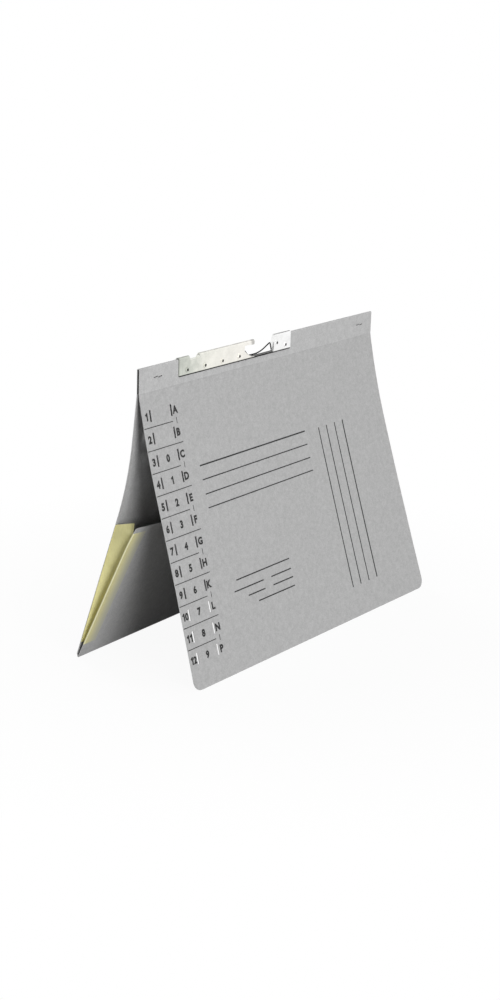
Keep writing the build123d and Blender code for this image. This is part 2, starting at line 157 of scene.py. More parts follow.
def noise(start, where, grain):
    if "stretch" in grain:
        inputs = {"Vector": where, "Vector_001": grain["stretch"]}
        where = start.add("ShaderNodeVectorMath", {"operation": "MULTIPLY"}, inputs)
    inputs = {
        "Vector": where,
        "Scale": grain["scale"],
        "Detail": grain["detail"],
        "Roughness": grain["rough"],
    }
    return start.add("ShaderNodeTexNoise", {}, inputs)


def bump(start, height, grain):
    inputs = {"Strength": grain["bump"], "Distance": grain["high"], "Height": height}
    return start.add("ShaderNodeBump", {}, inputs)


def mixed(start, factor, first, second):
    settings = {"data_type": "RGBA"}
    inputs = {"Factor_Float": factor, "A_Color": first, "B_Color": second}
    return start.add("ShaderNodeMix", settings, inputs, "Result_Color")


def scaled(start, colour, share):
    inputs = {"Vector": colour, "Scale": share}
    return start.add("ShaderNodeVectorMath", {"operation": "SCALE"}, inputs)


def ramp(start, value, low, high):
    inputs = {"Value": value, "From Min": low, "From Max": high}
    return start.add("ShaderNodeMapRange", {"clamp": True}, inputs)


def past(start, value, place, soft):
    # 0 before the place and 1 after it
    return ramp(start, value, place - soft, place + soft)


def between(start, value, low, high, soft):
    return past(start, value, low, soft) * (1 - past(start, value, high, soft))


def mottled(start, fine, broad, grain):
    # fine and broad noise together, from 0 for dark to 1 for pale
    share = grain["fineShare"]
    return ramp(start, fine * share + broad * (1 - share), *grain["toneSpan"])


def rgba(level):
    return (*level, 1) if isinstance(level, tuple) else (level, level, level, 1)


cardFinishes = {
    "cardStock": {"pale": 0.515, "dark": 0.405, "fleck": 0.32},
    # the pressed double band is paler, with painted shade within its fold
    "bandStock": {"pale": 0.585, "dark": 0.465, "fleck": 0.37, "inside": 0.05},
}
cardGrain = {
    "fibre": {"scale": 900.0, "detail": 5.0, "rough": 0.65},  # fibres of about a millimetre
    "cloud": {"scale": 260.0, "detail": 3.0, "rough": 0.6},
    "fineShare": 0.65,  # of fibre in the tone, and the rest is cloud
    "toneSpan": (0.38, 0.62),  # noise levels of the dark and the pale tone
    "fleck": {"scale": 720.0, "detail": 2.0, "rough": 0.6},
    "fleckSpan": (0.66, 0.74),
    "fleckShow": 0.5,
    "cutTone": 0.75,  # the cut ends are paler
    "cutDeep": (0.06 * mm, 0.02 * mm),
    "bandInside": (0.62 * mm, 0.7 * mm),  # painted shade within this distance of the band's middle
    "bump": 0.35,
    "high": 0.05 * mm,
    "rough": 0.78,
    "roughVary": 0.14,
    "gloss": 0.25,
}


def cardPainter(finish):
    def paint(start):
        where = start.add("ShaderNodeTexCoord", out="Object")
        fibre = noise(start, where, cardGrain["fibre"])
        tone = mottled(start, fibre, noise(start, where, cardGrain["cloud"]), cardGrain)
        colour = mixed(start, tone, rgba(finish["dark"]), rgba(finish["pale"]))
        fleck = ramp(start, noise(start, where, cardGrain["fleck"]), *cardGrain["fleckSpan"])
        colour = mixed(start, fleck * cardGrain["fleckShow"], colour, rgba(finish["fleck"]))
        cut = ramp(start, fromEnds(start, where), *cardGrain["cutDeep"])
        colour = mixed(start, cut, colour, rgba(cardGrain["cutTone"]))
        # painted shade within the band's fold, darkest near its middle
        if "inside" in finish:
            across = coordinate(start, where, "Y") - ridgeY
            above = start.math("MAXIMUM", coordinate(start, where, "Z") - (topZ - bandHalf), 0.0)
            outward = ramp(start, (across * across + above * above) ** 0.5, *cardGrain["bandInside"])
            colour = mixed(start, outward, rgba(finish["inside"]), colour)
        inputs = {
            "Base Color": colour,
            "Roughness": cardGrain["rough"] + fibre * cardGrain["roughVary"],
            "Specular IOR Level": cardGrain["gloss"],
            "Normal": bump(start, fibre, cardGrain),
        }
        return start.add("ShaderNodeBsdfPrincipled", {}, inputs)

    return paint


tapeFinishes = {
    # one tape in two tones: the web's copy is painted paler than the flap's, to stand in for light on the
    # web
    "pocketTape": {"pale": (0.94, 0.89, 0.465), "dark": (0.84, 0.79, 0.38)},
    "gluedTape": {
        "pale": (0.80, 0.75, 0.40),
        "dark": (0.70, 0.655, 0.33),
        "free": (0.52, 0.51, 0.41),  # away from the edge
        "rim": (0.98, 0.95, 0.62),  # painted highlight along the fold at the edge
    },
}
tapeGrain = {
    "fibre": {"scale": 900.0, "detail": 5.0, "rough": 0.6, "stretch": (1, 1, 0.35)},
    "cloud": {"scale": 120.0, "detail": 3.0, "rough": 0.6},
    "fineShare": 0.5,
    "toneSpan": (0.36, 0.62),
    "rim": (0.3 * mm, 0.9 * mm),  # painted highlight, inward from the edge
    "fade": (1.2 * mm, 10.5 * mm),
    "bump": 0.3,
    "high": 0.04 * mm,
    "rough": 0.7,
    "roughVary": 0.15,
    "gloss": 0.3,
}


def tapePainter(finish):
    def paint(start):
        where = start.add("ShaderNodeTexCoord", out="Object")
        fibre = noise(start, where, tapeGrain["fibre"])
        tone = mottled(start, fibre, noise(start, where, tapeGrain["cloud"]), tapeGrain)
        colour = mixed(start, tone, rgba(finish["dark"]), rgba(finish["pale"]))
        if "free" in finish:
            inward = fromEnds(start, where)
            colour = mixed(start, ramp(start, inward, *tapeGrain["fade"]), colour, rgba(finish["free"]))
            # painted highlight on the tape round the flap's edge
            colour = mixed(start, ramp(start, inward, *tapeGrain["rim"]), rgba(finish["rim"]), colour)
        inputs = {
            "Base Color": colour,
            "Roughness": tapeGrain["rough"] + fibre * tapeGrain["roughVary"],
            "Specular IOR Level": tapeGrain["gloss"],
            "Normal": bump(start, fibre, tapeGrain),
        }
        return start.add("ShaderNodeBsdfPrincipled", {}, inputs)

    return paint


inkFinish = {
    "dense": 0.012,
    "thin": 0.05,
    "grain": {"scale": 1500.0, "detail": 3.0, "rough": 0.6},
    "thinSpan": (0.4, 0.68),
    "rough": 0.6,
    "roughVary": 0.2,
    "gloss": 0.3,
}


def paintInk(start):
    where = start.add("ShaderNodeTexCoord", out="Object")
    cover = ramp(start, noise(start, where, inkFinish["grain"]), *inkFinish["thinSpan"])
    inputs = {
        "Base Color": mixed(start, cover, rgba(inkFinish["dense"]), rgba(inkFinish["thin"])),
        "Roughness": inkFinish["rough"] + cover * inkFinish["roughVary"],
        "Specular IOR Level": inkFinish["gloss"],
    }
    return start.add("ShaderNodeBsdfPrincipled", {}, inputs)


railLow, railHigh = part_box("hanger_rail")
tinFinish = {
    # painted shade at the left end going over to painted light at the right: tone along the strip, from its
    # left end
    "stops": [(0.0, (0.61, 0.635, 0.575)), (0.1, (0.69, 0.71, 0.645)), (0.26, (0.93, 0.92, 0.85)),
              (0.6, (0.96, 0.935, 0.88)), (0.8, (0.985, 0.985, 0.975)), (1.0, (1.0, 1.0, 1.0))],
    "worn": 0.88,  # tone of its rubbed places
    "brush": {"scale": 3600.0, "detail": 4.0, "rough": 0.6, "stretch": (0.06, 1, 1)},  # rolled lengthways
    "cloud": {"scale": 110.0, "detail": 3.0, "rough": 0.6},
    "cloudShift": 30 * mm,  # the clouds move the colours along the strip
    "fineShare": 0.5,
    "toneSpan": (0.4, 0.6),
    "bump": 0.25,
    "high": 0.01 * mm,
    "rough": 0.28,
    "roughVary": 0.16,
}


def tinTone(start, where):
    # colour along the strip, with painted shade at its left end and painted light towards its right, and the
    # fine brush marks of rolling
    brush = noise(start, where, tinFinish["brush"])
    cloud = noise(start, where, tinFinish["cloud"])
    place = coordinate(start, where, "X") + (cloud - 0.5) * tinFinish["cloudShift"]
    place = ramp(start, place, railLow.x, railHigh.x)
    colour = start.add("ShaderNodeValToRGB", {"stops": tinFinish["stops"]}, {"Fac": place}, "Color")
    tone = mottled(start, brush, cloud, tinFinish)
    return mixed(start, tone, scaled(start, colour, tinFinish["worn"]), colour), brush


def tinMetal(start, colour, brush):
    inputs = {
        "Base Color": colour,
        "Metallic": 1.0,
        "Roughness": tinFinish["rough"] + brush * tinFinish["roughVary"],
        "Normal": bump(start, brush, tinFinish),
    }
    return start.add("ShaderNodeBsdfPrincipled", {}, inputs)


# Dark marks on the strip, most of them painted shade: places run from its left end, and a dull of 1 would be
# black
stripMarks = {
    "soft": 0.15 * mm,  # edges of the marks
    "cutEdge": 0.9 * mm,  # band along the sheared bottom edge, with painted shadow, and along the left end, darker
    "cutDull": 0.96,
    "endDull": 0.25,
    "sillEnds": (97 * mm, 123 * mm),  # painted shade on the narrow bar under the mouth
    "sillHigh": 1.6 * mm,
    "sillSoft": 1.0 * mm,
    "sillDull": 0.9,
    "creasePlace": 4.6 * mm,  # painted shade of a faint upright crease
    "creaseWide": 0.5 * mm,
    "creaseDull": 0.12,
    "crownHigh": 0.55 * mm,  # painted dark reflection along the top fold, in patches, and darkest past the mouth
    "crownDull": 0.25,
    "patch": {"scale": 420.0, "detail": 2.0, "rough": 0.6},
    "patchSpan": (0.42, 0.6),
    "patchDull": 0.3,
    "mouthEnd": (114 * mm, 122 * mm),
    "pastMouthDull": 0.35,
    "tipEnds": (93 * mm, 97 * mm),  # shaded end of the finger
    "tipHigh": 4.0 * mm,
    "tipSoft": 1.2 * mm,
    "tipDull": 0.4,
}


def paintTin(start):
    marks, soft = stripMarks, stripMarks["soft"]
    where = start.add("ShaderNodeTexCoord", out="Object")
    colour, brush = tinTone(start, where)
    place = coordinate(start, where, "X") - railLow.x
    height = coordinate(start, where, "Z")
    # painted shadow along the bottom edge, and a darker left end
    bottom = 1 - past(start, height, railLow.z + marks["cutEdge"], soft)
    end = 1 - past(start, place, marks["cutEdge"], soft)
    # painted shade on the bar under the mouth
    bar = between(start, place, *marks["sillEnds"], marks["sillSoft"])
    bar = bar * (1 - past(start, height, railLow.z + marks["sillHigh"], soft))
    # painted shade of the upright crease
    creaseAt, creaseHalf = marks["creasePlace"], marks["creaseWide"] / 2
    crease = between(start, place, creaseAt - creaseHalf, creaseAt + creaseHalf, soft)
    # painted dark reflection along the top fold, in patches
    patch = ramp(start, noise(start, where, marks["patch"]), *marks["patchSpan"])
    pastMouth = ramp(start, place, *marks["mouthEnd"])
    crown = ramp(start, height, railHigh.z - marks["crownHigh"], railHigh.z - soft)
    crown = crown * (marks["crownDull"] + patch * marks["patchDull"] + pastMouth * marks["pastMouthDull"])
    tipFoot = railHigh.z - marks["tipHigh"]
    tip = between(start, place, *marks["tipEnds"], marks["tipSoft"])
    tip = tip * ramp(start, height, tipFoot, tipFoot + soft)
    # colour kept after the painted shade, shadow and dark reflection, and the darker left end
    kept = (1 - bottom * marks["cutDull"]) * (1 - end * marks["endDull"]) * (1 - bar * marks["sillDull"])
    kept = kept * (1 - crease * marks["creaseDull"]) * (1 - crown) * (1 - tip * marks["tipDull"])
    return tinMetal(start, scaled(start, colour, kept), brush)


eyeletFinish = {"boreTone": 0.28, "boreReach": 1.5 * mm, "boreSoft": 0.3 * mm}  # painted shade within the shank


def paintEyelet(start):
    where = start.add("ShaderNodeTexCoord", out="Object")
    colour, brush = tinTone(start, where)
    outward = start.math("ABSOLUTE", coordinate(start, where, "Y") - ridgeY, 0.0)
    # painted shade within the shank, and the flange's face in the plain tone
    bore, deep = eyeletFinish["boreTone"], eyeletFinish["boreReach"]
    face = ramp(start, outward, deep, deep + eyeletFinish["boreSoft"])
    return tinMetal(start, scaled(start, colour, bore + face * (1 - bore)), brush)


steels = {
    "springWire": {
        "pale": 0.009,
        "dark": 0.004,
        "metal": 0.0,
        "rough": 0.6,
        "gloss": 0.03,
        "brush": {"scale": 2500.0, "detail": 4.0, "rough": 0.6, "stretch": (0.2, 1, 1)},
    },
    "stapleWire": {
        "pale": 0.12,
        "dark": 0.06,
        "metal": 1.0,
        "rough": 0.4,
        "gloss": 0.5,
        "brush": {"scale": 2200.0, "detail": 4.0, "rough": 0.6, "stretch": (0.2, 1, 1)},
    },
    "prongSteel": {
        "pale": 0.72,
        "dark": 0.58,
        "metal": 1.0,
        "rough": 0.28,
        "gloss": 0.5,
        "brush": {"scale": 2400.0, "detail": 4.0, "rough": 0.6, "stretch": (0.06, 1, 1)},
    },
}
steelGrain = {"toneSpan": (0.36, 0.64), "bump": 0.2, "high": 0.01 * mm, "roughVary": 0.18}


def steelPainter(finish):
    def paint(start):
        where = start.add("ShaderNodeTexCoord", out="Object")
        brush = noise(start, where, finish["brush"])
        tone = ramp(start, brush, *steelGrain["toneSpan"])
        inputs = {
            "Base Color": mixed(start, tone, rgba(finish["dark"]), rgba(finish["pale"])),
            "Metallic": finish["metal"],
            "Roughness": finish["rough"] + brush * steelGrain["roughVary"],
            "Specular IOR Level": finish["gloss"],
            "Normal": bump(start, brush, steelGrain),
        }
        return start.add("ShaderNodeBsdfPrincipled", {}, inputs)

    return paint


cardStock, bandStock = (newFinish(name, cardPainter(finish)) for name, finish in cardFinishes.items())
pocketTape, gluedTape = (newFinish(name, tapePainter(finish)) for name, finish in tapeFinishes.items())
printInk = newFinish("printInk", paintInk)
tinplate = newFinish("tinplate", paintTin)
eyeletTin = newFinish("eyeletTin", paintEyelet)
steel = {name: newFinish(name, steelPainter(finish)) for name, finish in steels.items()}
print("finishes made")

# CAD nodes that keep their shape
keptNodes = {
    "spine_band": bandStock,
    "prong_patch": cardStock,
    "hanger_rail": tinplate,
    "crimp_eyelets": eyeletTin,
    "catch_wire": steel["springWire"],
    "staple_left": steel["stapleWire"],
    "staple_right": steel["stapleWire"],
    "rear_lap_left": pocketTape,
    "rear_lap_right": pocketTape,
    "prong_strip": steel["prongSteel"],
    "retainer_bar": steel["prongSteel"],
    "slider_left": steel["prongSteel"],
    "slider_right": steel["prongSteel"],
}
for name, finish in keptNodes.items():
    nodes[name].data.materials.clear()
    nodes[name].data.materials.append(finish)


# How the card stands: legs of (length, lean at the start, lean at the end), followed from the crease down.
# A place on a sheet is (u, d): along from the left edge, and down the card from the crease.

card = {
    "thick": 0.45 * mm,
    "creaseTurn": 1.6 * mm,
    "creaseSteps": 5,
    "creaseBlend": 3 * mm,  # a length down the card from the crease
    "foldBlend": 2 * mm,  # and this far up the flap from where it starts
    "bandEdge": 0.1 * mm,  # a sheet starts this far above its crease
    "grid": 5.0 * mm,
}
frontCover = {
    "height": 240 * mm,  # top edge to bottom edge along the card
    "topLean": radians(11.6),
    "lowLean": radians(17.0),
    "topRun": 10 * mm,
    "bendRun": 64 * mm,
    "corner": 8 * mm,
    "twist": 5.0 * mm,  # the right end stands this much further out, and the left end further in
}
rearCover = {
    "topLean": radians(6.0),
    "lowLean": radians(18.2),
    "topRun": 36 * mm,
    "bendRun": 60 * mm,
    "foldSweep": radians(160),
    "foldStepShare": 0.25,  # of the fold's radius
}
pocketFlap = {
    "length": 125 * mm,
    "cornerWide": 1.2 * mm,
    "cornerHigh": 1.2 * mm,
    "bulge": 4.4 * mm,  # the middle of its top edge stands forward of its taped sides
    "bulgeReach": 90 * mm,  # from each side
    "flare": 1.1 * mm,  # its top edge curls forward
    "flareRun": 25 * mm,
}


def walk(legs, d):
    out, down, lean = 0.0, min(d, 0.0), 0.0
    for length, first, last in legs:
        if d <= 0:
            break
        run = min(d, length)
        lean = first + (last - first) * run / length
        if first == last:
            out += run * sin(first)
            down += run * cos(first)
        else:
            radius = length / (last - first)
            out += radius * (cos(first) - cos(lean))
            down += radius * (sin(lean) - sin(first))
        d -= run
    return out, down, lean


def coverLegs(cover):
    top, low = cover["topLean"], cover["lowLean"]
    return [
        (card["creaseTurn"], 0.0, top),
        (cover["topRun"] - card["creaseTurn"], top, top),
        (cover["bendRun"], top, low),
    ]


def reach(legs):
    return sum(leg[0] for leg in legs)


frontLegs = coverLegs(frontCover)
frontEnd = frontCover["height"] - bandDepth
frontLegs.append((frontEnd - reach(frontLegs), frontCover["lowLean"], frontCover["lowLean"]))

# The rear cover goes on round the bottom fold and up the flap
rearLegs = coverLegs(rearCover)
rearLean = rearCover["lowLean"]
bendDown = walk(rearLegs, reach(rearLegs))[1]
rearRun = (creaseZ - bendDown - foldAxis.z - foldRadius * sin(rearLean)) / cos(rearLean)
rearLegs.append((rearRun, rearLean, rearLean))
foldStart = reach(rearLegs)
flapTurn = rearLean - pi + flapOpen
foldTurn = rearLean - rearCover["foldSweep"]
rearLegs.append((foldRadius * rearCover["foldSweep"], rearLean, foldTurn))
foldSplit = reach(rearLegs)
rearLegs.append((foldRadius * (foldTurn - flapTurn), foldTurn, flapTurn))
flapStart = reach(rearLegs)
rearLegs.append((2 * pocketFlap["length"], flapTurn, flapTurn))  # goes on past the flap, for the tape


def onFront(u, d, lift=0.0):
    out, down, lean = walk(frontLegs, d)
    out += frontCover["twist"] * (2 * u / width - 1) * (max(d, 0) / frontEnd) ** 2
    y = ridgeY - bandHalf - out - lift * cos(lean)
    return Vector((leftX + u, y, creaseZ - down + lift * sin(lean)))


def flapBulge(u, d):
    up = max(d - flapStart, 0.0)
    inward = min(max(min(u, width - u), 0.0) / pocketFlap["bulgeReach"], 1.0)
    curl = max(1 - (pocketFlap["length"] - up) / pocketFlap["flareRun"], 0.0)
    bulge = pocketFlap["bulge"] * up / pocketFlap["length"] * (1 - (1 - inward) ** 2)
    return bulge + pocketFlap["flare"] * curl ** 2


def onRear(u, d, lift=0.0):
    out, down, lean = walk(rearLegs, d)
    lift += flapBulge(u, d)
    y = ridgeY + bandHalf + out + lift * cos(lean)
    return Vector((leftX + u, y, creaseZ - down + lift * sin(lean)))


# Mesh helpers

meshing = {"weld": 0.0005 * mm, "snap": 0.001 * mm, "sharp": radians(35)}


def spread(first, last, step):
    count = max(1, ceil(abs(last - first) / step))
    return [first + (last - first) * i / count for i in range(count + 1)]


def arc(cx, cy, radius, start, end, steps=6):
    turns = spread(start, end, abs(end - start) / steps)
    return [(cx + radius * cos(a), cy + radius * sin(a)) for a in turns]


def newPiece(name, verts, faces, finish):
    mesh = bpy.data.meshes.new(name)
    mesh.from_pydata([tuple(v) for v in verts], [], faces)
    work = bmesh.new()
    work.from_mesh(mesh)
    bmesh.ops.remove_doubles(work, verts=work.verts, dist=meshing["weld"])
    bmesh.ops.recalc_face_normals(work, faces=work.faces)
    work.to_mesh(mesh)
    work.free()
    mesh.polygons.foreach_set("use_smooth", [True] * len(mesh.polygons))
    mesh.set_sharp_from_angle(angle=meshing["sharp"])
    mesh.materials.append(finish)
    piece = bpy.data.objects.new(name, mesh)
    bpy.context.scene.collection.objects.link(piece)
    return piece


def divided(loop):
    # the same loop with its long runs cut to the grid, so that they bend with the card
    points = []
    for (u0, d0), (u1, d1) in zip(loop, loop[1:] + loop[:1]):
        run = (Vector((u1, d1)) - Vector((u0, d0))).length
        parts = spread(0.0, 1.0, min(1.0, card["grid"] / run))[:-1]
        points += [(u0 + (u1 - u0) * share, d0 + (d1 - d0) * share) for share in parts]
    return points


def cutAway(corners, holes):
    # true for a face that lies in a cut-out
    centre = sum(corners, Vector((0, 0))) / len(corners)
    for loop in holes:
        us, ds = zip(*loop)
        if min(us) < centre.x < max(us) and min(ds) < centre.y < max(ds):
            return True
    return False


def cardPiece(name, outline, holes, rows, place):
    # flat pattern first: outline, cut-outs and a grid, triangulated, then bent and given its thickness
    flat, rim = [], []
    for loop in [divided(outline), *holes]:
        first = len(flat)
        flat += loop
        rim += [(first + i, first + (i + 1) % len(loop)) for i in range(len(loop))]
    columns = ceil(width / card["grid"])
    for d in rows:
        flat += [(width * i / columns, d) for i in range(1, columns)]
    insideOnly = 1
    found = delaunay_2d_cdt([Vector(p) for p in flat], rim, [], insideOnly, meshing["snap"])
    points, count = found[0], len(found[0])
    faces = [list(face) for face in found[2] if not cutAway([points[i] for i in face], holes)]
    verts = [place(p.x, p.y) for p in points]
    verts += [place(p.x, p.y, -card["thick"]) for p in points]
    uses = {}
    for face in faces:
        for a, b in zip(face, face[1:] + face[:1]):
            uses.setdefault(frozenset((a, b)), []).append((a, b))
    walls = [(b, a, a + count, b + count) for pairs in uses.values() if len(pairs) == 1 for a, b in pairs]
    backs = [[i + count for i in reversed(face)] for face in faces]
    return newPiece(name, verts, faces + backs + walls, cardStock)


def slabFaces(rows, columns):
    # faces of a slab given as a grid of points on one side and the same grid on the other
    count = rows * columns
    faces = []
    for j in range(rows - 1):
        for i in range(columns - 1):
            a = j * columns + i
            quad = (a, a + 1, a + columns + 1, a + columns)
            faces += [quad, tuple(k + count for k in reversed(quad))]
    border = list(range(columns))
    border += [j * columns + columns - 1 for j in range(1, rows)]
    border += [(rows - 1) * columns + i for i in range(columns - 2, -1, -1)]
    border += [j * columns for j in range(rows - 2, 0, -1)]
    for a, b in zip(border, border[1:] + border[:1]):
        faces.append((b, a, a + count, b + count))
    return faces


# Front cover: index slots down its left side, round lower corners
index = {
    "rows": 12,
    "firstCentre": 35.5 * mm,  # below the top edge
    "lastRise": 23.4 * mm,  # above the bottom edge
    "slotHigh": 8.5 * mm,
    "slotWide": 1.8 * mm,
    "numberSlot": 9.4 * mm,  # from the left edge
    "letterSlot": 34.0 * mm,
}
indexPitch = (frontCover["height"] - index["firstCentre"] - index["lastRise"]) / (index["rows"] - 1)
indexRows = [index["firstCentre"] + i * indexPitch - bandDepth for i in range(index["rows"])]


def slotLoop(u, d):
    halfWide, halfHigh = index["slotWide"] / 2, index["slotHigh"] / 2
    return [
        (u - halfWide, d - halfHigh),
        (u + halfWide, d - halfHigh),
        (u + halfWide, d + halfHigh),
        (u - halfWide, d + halfHigh),
    ]


def coverRows(first, last):
    turn = card["creaseTurn"]
    rows = spread(first, turn, turn / card["creaseSteps"])[1:]
    return rows + spread(turn, last, card["grid"])[1:-1]


corner = frontCover["corner"]
edgeTop = -card["bandEdge"]
frontOutline = [(0.0, edgeTop), (width, edgeTop)]
frontOutline += arc(width - corner, frontEnd - corner, corner, 0.0, pi / 2)
frontOutline += arc(corner, frontEnd - corner, corner, pi / 2, pi)
slots = [slotLoop(u, d) for d in indexRows for u in (index["numberSlot"], index["letterSlot"])]
front = cardPiece("front_cover_sheet", frontOutline, slots, coverRows(edgeTop, frontEnd), onFront)
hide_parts("front_cover")
onFront(middle, 0)
onFront(middle, card["creaseBlend"])
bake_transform(front)

# Rear cover with its bottom fold
rearOutline = [(0.0, edgeTop), (width, edgeTop), (width, foldSplit), (0.0, foldSplit)]
rearRows = coverRows(edgeTop, foldStart)
rearRows += spread(foldStart, foldSplit, foldRadius * rearCover["foldStepShare"])[:-1]
rearSheet = cardPiece("rear_cover_sheet", rearOutline, [], rearRows, onRear)
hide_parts("rear_cover")
onRear(middle, 0)
onRear(middle, card["creaseBlend"])
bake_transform(rearSheet)

# Pocket flap, the sheet's end
flapTop = flapStart + pocketFlap["length"]
cornerWide, cornerHigh = pocketFlap["cornerWide"], pocketFlap["cornerHigh"]
flapOutline = [
    (0.0, foldSplit),
    (width, foldSplit),
    (width, flapTop - cornerHigh),
    (width - cornerWide, flapTop),
    (cornerWide, flapTop),
    (0.0, flapTop - cornerHigh),
]
flapRows = [flapStart] + spread(flapStart, flapTop - cornerHigh, card["grid"])[1:-1]
flap = cardPiece("pocket_flap_sheet", flapOutline, [], flapRows, onRear)
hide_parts("pocket_flap")
foldEnd = flapStart + card["foldBlend"]
onRear(middle, foldSplit)
onRear(middle, foldEnd)
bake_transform(flap)
print("card sheets made")


# Pocket sides: paper tape from the rear cover's edge to the flap's edge, folded inward between them
tape = {
    "thick": 0.2 * mm,
    "bottom": 12.95 * mm,  # above the fold's axis
    "height": 107 * mm,
    "rearDrop": 2.7 * mm,  # its top lies lower on the rear cover
    "loose": 7 * mm,  # the web's top corner above the lap, which stands free of the flap
    "looseLean": 3.1 * mm,
    "slack": 1.005,  # width of the web over the pocket's opening
    "valleyShare": 0.88,  # where the web is folded, from the rear cover
    "foldRound": 1.1,  # 1 is a sharp fold
    "inset": 0.3 * mm,
    "across": 20,
    "rows": 30,
    "flatKeep": 0.05,  # of the web's depth, when the pocket is shut
    "lap": 13 * mm,
    "lapSteps": 4,
    "lapRows": 9,
    "edgeLoop": 0.5 * mm,  # the tape stands off the flap's edge
    "loopStep": pi / 8,
    "hem": 3 * mm,  # behind the flap
    "hemStep": 1.5 * mm,
}


def webSides(edge, rise):
    # where the web meets the rear cover and the flap, at a share of its height
    under = -card["thick"] - tape["thick"]
    onCover = tape["bottom"] + rise * (tape["height"] - tape["rearDrop"])
    onFlap = tape["bottom"] + rise * (tape["height"] + tape["loose"])
    lean = max(onFlap - tape["bottom"] - tape["height"], 0.0) / tape["loose"] * tape["looseLean"]
    return onRear(edge, foldStart - onCover, under), onRear(edge, flapStart + onFlap, under - lean)


def webPiece(name, side):
    # side 1 is the left web and -1 the right one
    # the paper is as wide below as at the top, so it folds deeper there
    edge = 0.0 if side > 0 else width
    valley = tape["valleyShare"]
    sides = [webSides(edge, rise) for rise in spread(0.0, 1.0, 1 / tape["rows"])]
    paper = max((flapPoint - rearPoint).length for rearPoint, flapPoint in sides) * tape["slack"]
    verts = []
    for back in (0.0, tape["thick"]):
        for rearPoint, flapPoint in sides:
            gap = (flapPoint - rearPoint).length
            aside = (2 * valley - 1) * gap / paper
            depth = ((paper ** 2 - gap ** 2) * (1 - aside ** 2)) ** 0.5 / 2
            for share in spread(0.0, 1.0, 1 / tape["across"]):
                away = abs(share - valley) / (valley if share < valley else 1 - valley)
                point = rearPoint.lerp(flapPoint, share)
                point.x += side * (depth * (1 - away ** tape["foldRound"]) + back + tape["inset"])
                verts.append(point)
    return newPiece(name, verts, slabFaces(tape["rows"] + 1, tape["across"] + 1), pocketTape)


def lapSection(inset):
    # the tape across the flap's face, round its edge and behind it: (in from the edge, above the face)
    thick = tape["thick"]
    half = card["thick"] / 2 + thick
    turns = spread(pi / 2, -pi / 2, tape["loopStep"])
    line = [(u, thick - inset) for u in spread(tape["lap"], 0.0, tape["lap"] / tape["lapSteps"])]
    line += [(-(tape["edgeLoop"] - inset) * cos(a), thick - half + (half - inset) * sin(a)) for a in turns]
    line += [(u, thick - 2 * half + inset) for u in spread(0.0, tape["hem"], tape["hemStep"])]
    return line


def lapPiece(name, side):
    edge = 0.0 if side > 0 else width
    step = tape["height"] / (tape["lapRows"] - 1)
    skins = (lapSection(0.0), lapSection(tape["thick"]))
    verts = []
    for skin in skins:
        for rise in spread(tape["bottom"], tape["bottom"] + tape["height"], step):
            verts += [onRear(edge + side * u, flapStart + rise, h) for u, h in skin]
    return newPiece(name, verts, slabFaces(tape["lapRows"], len(skins[0])), gluedTape)


tapeFoot = foldStart - tape["bottom"]
rearInside = onRear(0.0, tapeFoot, -card["thick"] - tape["thick"])
rearInward = onRear(0.0, tapeFoot, -1.0) - onRear(0.0, tapeFoot, 0.0)
for end, side in (("left", 1), ("right", -1)):
    web = webPiece("gusset_web_" + end + "_tape", side)
    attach(web, "rear_cover")
    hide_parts("gusset_web_" + end)
    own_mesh(web)
    lap = lapPiece("flap_lap_" + end + "_tape", side)
    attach(lap, "pocket_flap")
    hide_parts("flap_lap_" + end)
print("pocket sides made")


# Tops of the strip's turned-in lips, which close its hollow crown beside the notch and the mouth
lipTop = {
    "notch": (71.59 * mm, 72.4 * mm),  # from the left edge, at the lip's foot and at the top edge
    "mouth": (171.16 * mm, 171.6 * mm),
    "foot": 1.05 * mm,  # below the top edge
    "crown": 1.08 * mm,  # radius
    "crownDepth": 0.65 * mm,
    "crownSteps": 10,
    "thick": 0.3 * mm,
}


def lipPiece(name, stations):
    foot, top = stations
    crown = lipTop["crown"]
    over = arc(0.0, lipTop["crownDepth"], crown, 0.0, -pi, lipTop["crownSteps"])
    rim = [(crown, lipTop["foot"]), *over, (-crown, lipTop["foot"])]
    verts = []
    for back in (0.0, lipTop["thick"]):
        for y, depth in rim:
            station = top + (foot - top) * depth / lipTop["foot"]
            verts.append((leftX + station + back, ridgeY + y, topZ - depth))
    count = len(rim)
    faces = [tuple(range(count)), tuple(range(2 * count - 1, count - 1, -1))]
    faces += [(i, (i + 1) % count, (i + 1) % count + count, i + count) for i in range(count)]
    return newPiece(name, verts, faces, tinplate)


for place in ("notch", "mouth"):
    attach(lipPiece("hanger_lip_" + place, lipTop[place]), "spine")
print("lip tops made")


# Printed marks on the front cover, as thin films of ink

ink = {
    "high": 0.03 * mm,
    "sunk": 0.02 * mm,
    "hair": 0.62 * mm,
    "rule": 0.88 * mm,
    "boldRule": 1.15 * mm,
    "formRule": 1.0 * mm,
    "uprightRule": 1.18 * mm,
    "boldUpright": 1.42 * mm,
    "step": 4.0 * mm,
    "figureHigh": 6.0 * mm,
    "figureDrop": 0.2 * mm,
    "figureSteps": 3,  # along each curve of a figure
    "figureWeight": 0.055,  # of the figure's size
    "figureSpace": 0.82,  # from one figure to the next, over the font's own
}


